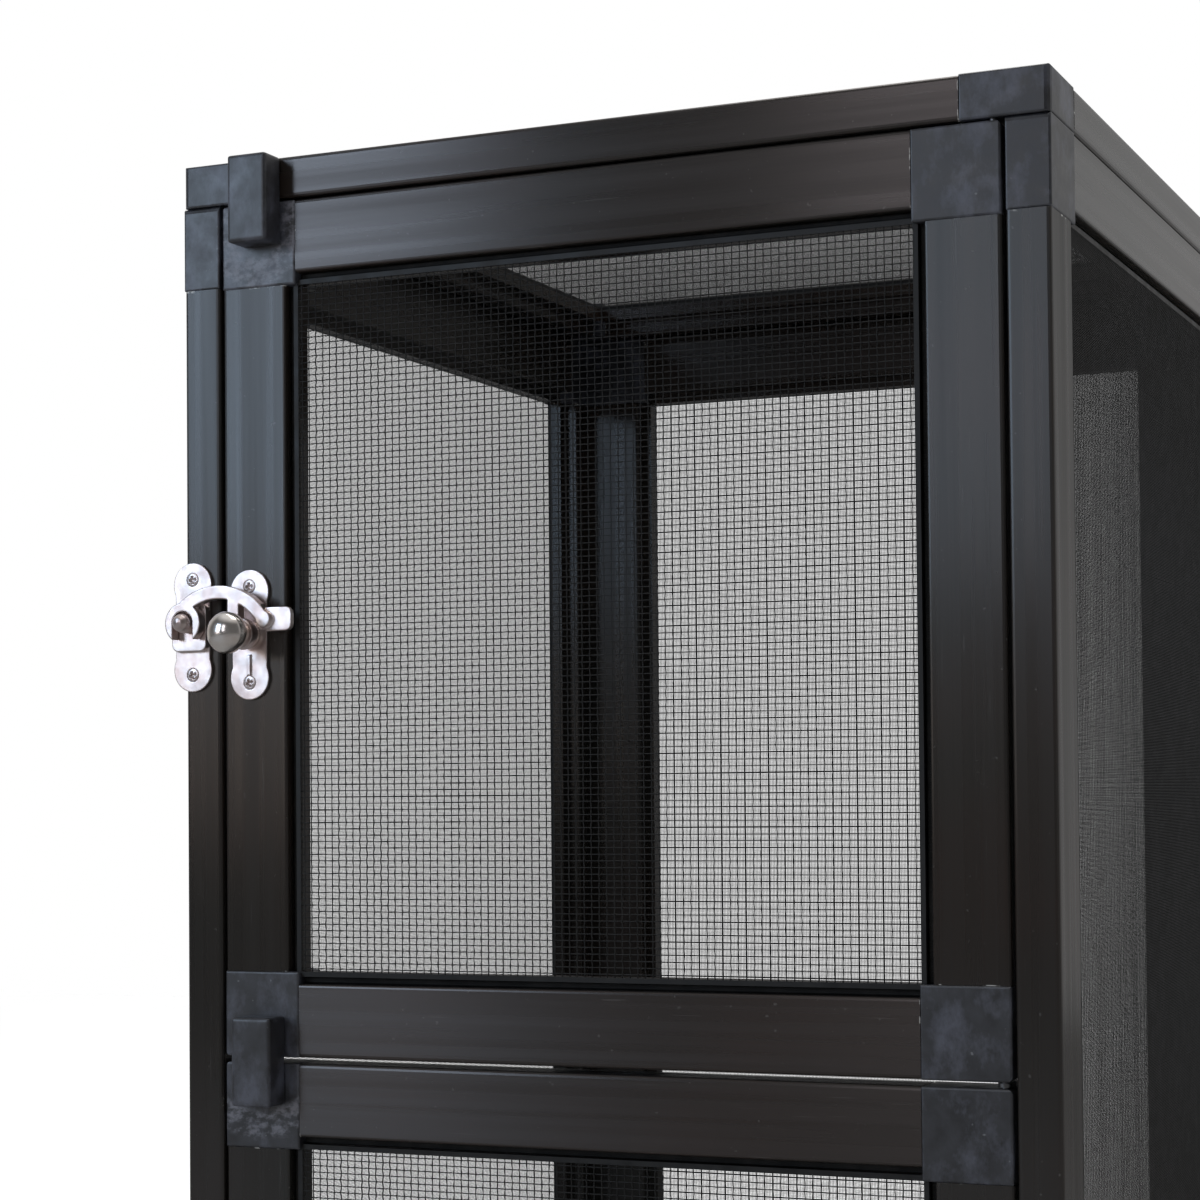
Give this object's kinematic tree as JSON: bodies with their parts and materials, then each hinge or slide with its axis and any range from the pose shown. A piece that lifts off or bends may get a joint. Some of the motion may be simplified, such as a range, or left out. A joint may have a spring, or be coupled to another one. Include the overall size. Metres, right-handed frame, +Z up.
{
  "type": "reptile terrarium",
  "caption": "Tall screen cage of black aluminium frames and corner blocks, with an upper and a lower hinged front door, a bright swing latch and turn buttons.",
  "frame": {"origin": "bottom centre of the overall box, which counts the latch and the turn buttons in", "axes": "+X right as seen from the doors, -Y the front, +Z up"},
  "size_m": [0.411, 0.4324, 0.762],
  "materials": {
    "frame": "black anodised, satin, brushed lengthwise",
    "block_plastic": "black moulded plastic with small pale flecks",
    "screen": "black coated woven wire",
    "spline": "black cord",
    "floor_plastic": "black sheet",
    "chrome": "bright plated",
    "steel": "plain steel"
  },
  "bodies": {
    "cage": {"top_panel_rails": "frame", "top_panel_stiles": "frame", "top_panel_corner_blocks": "block_plastic", "top_panel_screen": "screen", "top_panel_spline": "spline", "bottom_panel_rails": "frame", "bottom_panel_stiles": "frame", "bottom_panel_corner_blocks": "block_plastic", "floor_board": "floor_plastic", "left_panel_rails": "frame", "left_panel_stiles": "frame", "left_panel_corner_blocks": "block_plastic", "left_panel_screen": "screen", "left_panel_spline": "spline", "right_panel_rails": "frame", "right_panel_stiles": "frame", "right_panel_corner_blocks": "block_plastic", "right_panel_screen": "screen", "right_panel_spline": "spline", "back_panel_rails": "frame", "back_panel_stiles": "frame", "back_panel_corner_blocks": "block_plastic", "back_panel_screen": "screen", "back_panel_spline": "spline", "hinge_pins": "steel", "middle_hinge_bracket": "steel", "hinge_bracket_screws": "steel", "latch_frame_plate": "chrome", "latch_catch_stud": "chrome", "latch_frame_screws": "chrome", "top_panel_screws": "steel", "bottom_panel_screws": "steel", "back_panel_screws": "steel"},
    "upper_door": {"upper_door_top_rail": "frame", "upper_door_bottom_rail": "frame", "upper_door_latch_stile": "frame", "upper_door_hinge_stile": "frame", "upper_door_corner_blocks": "block_plastic", "upper_door_screen": "screen", "upper_door_spline": "spline", "latch_door_plate": "chrome", "latch_ball_post": "chrome", "latch_door_screws": "chrome", "turn_button_pins": "steel"},
    "lower_door": {"lower_door_top_rail": "frame", "lower_door_bottom_rail": "frame", "lower_door_free_stile": "frame", "lower_door_hinge_stile": "frame", "lower_door_corner_blocks": "block_plastic", "lower_door_screen": "screen", "lower_door_spline": "spline"},
    "latch_arm": {"latch_arm": "chrome"},
    "top_turn_button": {"top_turn_button": "block_plastic"},
    "middle_turn_button": {"middle_turn_button": "block_plastic"}
  },
  "joints": [
    {"name": "upper_door_swing", "type": "hinge", "parent": "cage", "child": "upper_door", "pos_m": [0.1809, -0.18585, 0.5503], "axis": [0, 0, 1], "range_deg": [0, 105]},
    {"name": "lower_door_swing", "type": "hinge", "parent": "cage", "child": "lower_door", "pos_m": [0.1809, -0.18585, 0.1882], "axis": [0, 0, 1], "range_deg": [0, 105]},
    {"name": "latch_arm_swing", "type": "hinge", "parent": "upper_door", "child": "latch_arm", "pos_m": [-0.1657, -0.19735, 0.5474], "axis": [0, 1, 0], "range_deg": [0, 70]},
    {"name": "top_button_turn", "type": "hinge", "parent": "upper_door", "child": "top_turn_button", "pos_m": [-0.1591, -0.1964, 0.7319], "axis": [0, 1, 0], "range_deg": [-90, 90]},
    {"name": "middle_button_turn", "type": "hinge", "parent": "upper_door", "child": "middle_turn_button", "pos_m": [-0.1591, -0.1964, 0.3674], "axis": [0, 1, 0], "range_deg": [-90, 90]}
  ]
}
